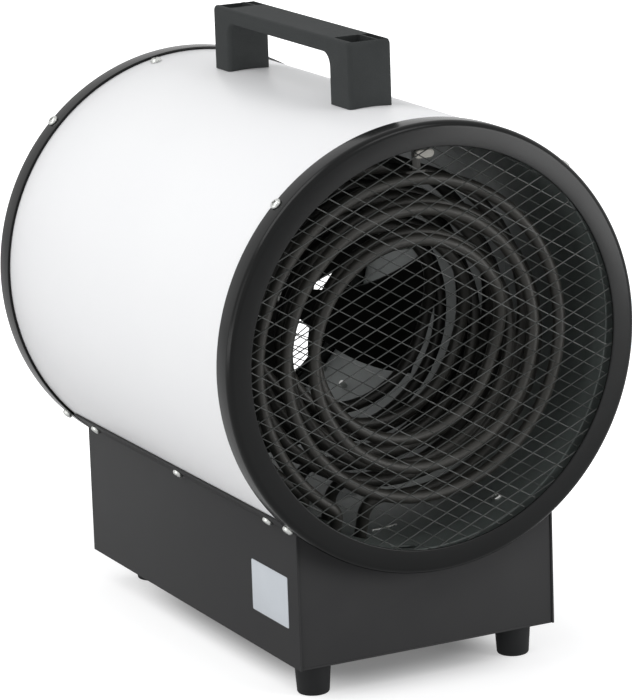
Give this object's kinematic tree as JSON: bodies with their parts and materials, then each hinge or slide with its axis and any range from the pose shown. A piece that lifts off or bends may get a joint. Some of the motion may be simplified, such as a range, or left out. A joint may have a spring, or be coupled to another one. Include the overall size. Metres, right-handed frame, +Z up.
{
  "type": "forced air heater",
  "caption": "Round-drum electric fan heater on a box base with rubber feet, mesh end grilles, spiral heating tubes, turning fan, rear knobs and a carrying handle.",
  "frame": {"origin": "on the floor, at the middle of the object's bounding box seen from above", "axes": "+Z up, the air outlet faces -Y, the air inlet and the controls face +Y, +X to the right seen from the outlet side"},
  "size_m": [0.3, 0.376, 0.4227],
  "materials": {
    "drum_paint": "satin white powder coat",
    "black_paint": "satin black powder coat",
    "mesh_paint": "satin black coated wire",
    "base_paint": "fine dark grey powder coat",
    "handle_plastic": "fine grained black moulding",
    "black_plastic": "black moulding",
    "foot_rubber": "matt black",
    "zinc_steel": "bright zinc plated",
    "sleeve_steel": "plain bright sheet",
    "element_sheath": "dark oxidised tube",
    "fan_paint": "matt grey",
    "motor_paint": "dark grey",
    "label_film": "pale blank film",
    "ceramic": "cream insulator",
    "copper": "plain copper"
  },
  "bodies": {
    "housing": {"drum_shell": "drum_paint", "front_ring": "black_paint", "rear_ring": "black_paint", "inner_sleeve": "sleeve_steel", "front_grille": "mesh_paint", "rear_grille": "mesh_paint", "heating_element_front": "element_sheath", "heating_element_middle": "element_sheath", "heating_element_rear": "element_sheath", "element_lead_block": "ceramic", "element_strap": "zinc_steel", "thermal_cutout": "black_plastic", "motor_body": "motor_paint", "motor_bracket": "zinc_steel", "base_side_left": "base_paint", "base_side_right": "base_paint", "base_bottom_plate": "base_paint", "base_front_panel": "base_paint", "base_rear_panel": "base_paint", "rating_label": "label_film", "foot_front_left": "foot_rubber", "foot_front_right": "foot_rubber", "foot_rear_left": "foot_rubber", "foot_rear_right": "foot_rubber", "handle": "handle_plastic", "mode_switch_body": "black_plastic", "thermostat_body": "zinc_steel", "thermostat_bulb": "copper", "cable_gland": "black_plastic", "cable_gland_nut": "black_plastic", "contactor": "black_plastic", "terminal_block": "ceramic", "front_ring_screw_1": "zinc_steel", "front_ring_screw_2": "zinc_steel", "front_ring_screw_3": "zinc_steel", "front_ring_screw_4": "zinc_steel", "rear_ring_screw_1": "zinc_steel", "rear_ring_screw_2": "zinc_steel", "rear_ring_screw_3": "zinc_steel", "rear_ring_screw_4": "zinc_steel", "base_screw_left_1": "zinc_steel", "base_screw_left_2": "zinc_steel", "base_screw_left_3": "zinc_steel", "base_screw_right_1": "zinc_steel", "base_screw_right_2": "zinc_steel", "base_screw_right_3": "zinc_steel", "drum_screw": "zinc_steel", "handle_screw_front": "zinc_steel", "handle_screw_rear": "zinc_steel"},
    "fan_rotor": {"fan_shaft": "sleeve_steel", "fan_hub": "zinc_steel", "fan_wheel": "fan_paint"},
    "mode_control": {"mode_knob": "black_plastic", "mode_switch_spindle": "zinc_steel"},
    "thermostat_control": {"thermostat_knob": "black_plastic", "thermostat_spindle": "zinc_steel"}
  },
  "joints": [
    {"name": "fan_spin", "type": "hinge", "parent": "housing", "child": "fan_rotor", "pos_m": [0, 0.038, 0.231], "axis": [0, 1, 0], "continuous": true},
    {"name": "mode_knob_turn", "type": "hinge", "parent": "housing", "child": "mode_control", "pos_m": [0.048, 0.165, 0.053], "axis": [0, -1, 0], "range_deg": [0, 135]},
    {"name": "thermostat_knob_turn", "type": "hinge", "parent": "housing", "child": "thermostat_control", "pos_m": [-0.006, 0.165, 0.053], "axis": [0, -1, 0], "range_deg": [0, 270]}
  ]
}
